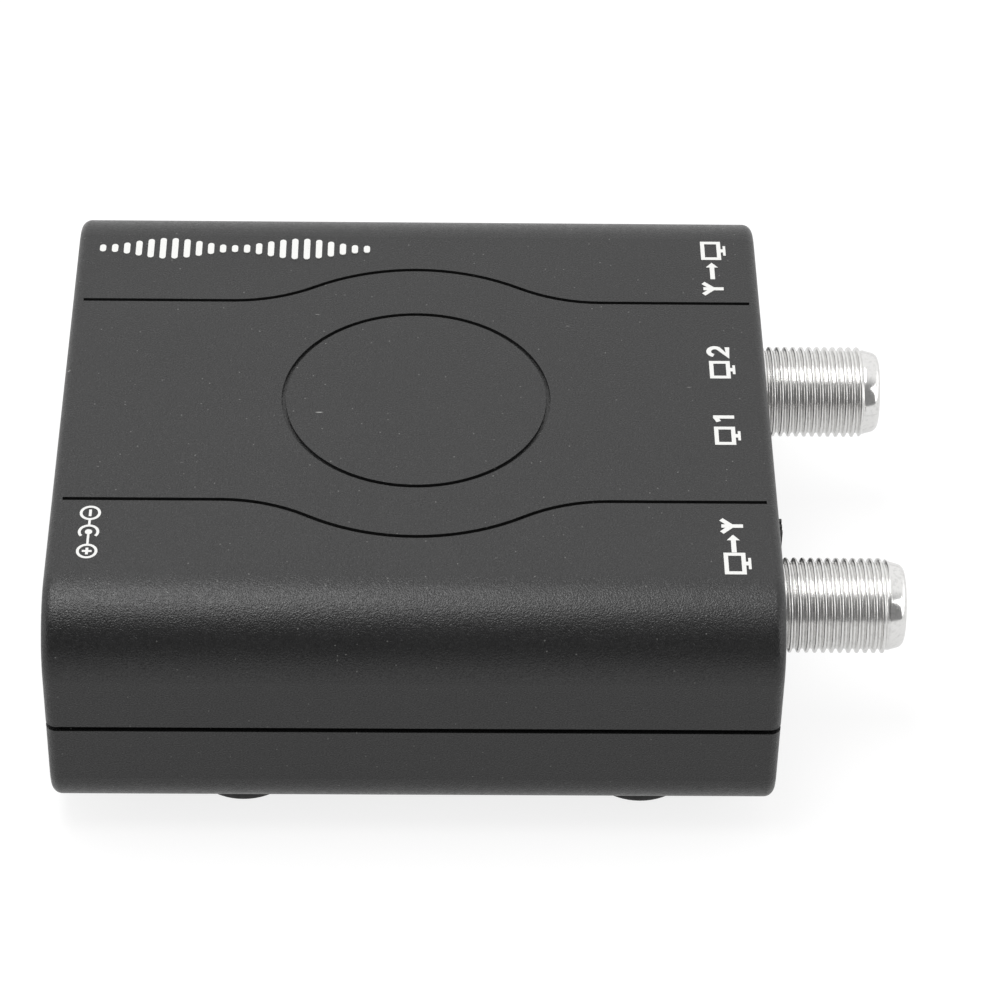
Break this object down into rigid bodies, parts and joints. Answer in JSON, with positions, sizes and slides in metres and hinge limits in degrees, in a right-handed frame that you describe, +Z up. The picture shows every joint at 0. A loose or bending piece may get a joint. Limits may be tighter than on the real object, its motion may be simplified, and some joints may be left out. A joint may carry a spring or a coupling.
{
  "type": "rf modulator",
  "caption": "Small dark two-part plastic box on rubber feet, with threaded aerial sockets and a channel slide switch on one end, a power jack on the other and phono sockets at the back.",
  "frame": {"origin": "on the surface that the feet stand on, under the centre of the round groove and the middle of the case", "axes": "+X out of the aerial sockets' end, +Y out of the phono sockets' side (the back), +Z up"},
  "size_m": [0.08, 0.0701, 0.0267],
  "materials": {
    "case_plastic": "fine moulded grain, satin",
    "foot_rubber": "matt",
    "screw_steel": "plain",
    "board_laminate": "solder mask",
    "tin_plate": "bright tin plate",
    "socket_metal": "bright nickel plate",
    "white_plastic": "smooth",
    "contact_brass": "plain",
    "knob_plastic": "satin",
    "base_board": "pressed board",
    "black_plastic": "satin",
    "yellow_plastic": "smooth",
    "red_plastic": "smooth",
    "capacitor_can": "plain",
    "part_epoxy": "moulded",
    "ferrite": "sintered",
    "ceramic": "sintered"
  },
  "bodies": {
    "case": {"top_shell": "case_plastic", "bottom_shell": "case_plastic", "rubber_feet": "foot_rubber", "case_screws": "screw_steel", "main_board": "board_laminate", "board_screws": "screw_steel", "rf_can_frame": "tin_plate", "rf_can_partition": "tin_plate", "rf_can_lid": "tin_plate", "rf_out_barrel": "socket_metal", "rf_out_insulator": "white_plastic", "rf_out_contact": "contact_brass", "rf_in_barrel": "socket_metal", "rf_in_insulator": "white_plastic", "rf_in_contact": "contact_brass", "channel_switch_frame": "tin_plate", "channel_switch_base": "base_board", "channel_switch_terminals": "contact_brass", "dc_jack_housing": "black_plastic", "dc_jack_pin": "socket_metal", "dc_jack_spring": "tin_plate", "av_jack_block": "black_plastic", "video_collar": "yellow_plastic", "video_sleeve": "socket_metal", "video_core": "yellow_plastic", "video_contact": "contact_brass", "audio_left_collar": "white_plastic", "audio_left_sleeve": "socket_metal", "audio_left_core": "white_plastic", "audio_left_contact": "contact_brass", "audio_right_collar": "red_plastic", "audio_right_sleeve": "socket_metal", "audio_right_core": "red_plastic", "audio_right_contact": "contact_brass", "electrolytic_capacitors": "capacitor_can", "voltage_regulator": "part_epoxy", "rectifier_diodes": "part_epoxy", "modulator_chip": "part_epoxy", "tuning_coils": "tin_plate", "coil_slugs": "ferrite", "quartz_crystal": "tin_plate", "chip_resistors": "part_epoxy", "ceramic_capacitors": "ceramic"},
    "switch_knob": {"channel_switch_knob": "knob_plastic", "channel_switch_wiper": "contact_brass"}
  },
  "joints": [
    {"name": "channel_slide", "type": "slide", "parent": "case", "child": "switch_knob", "axis": [0, 1, 0], "range_m": [0, 0.002]}
  ]
}
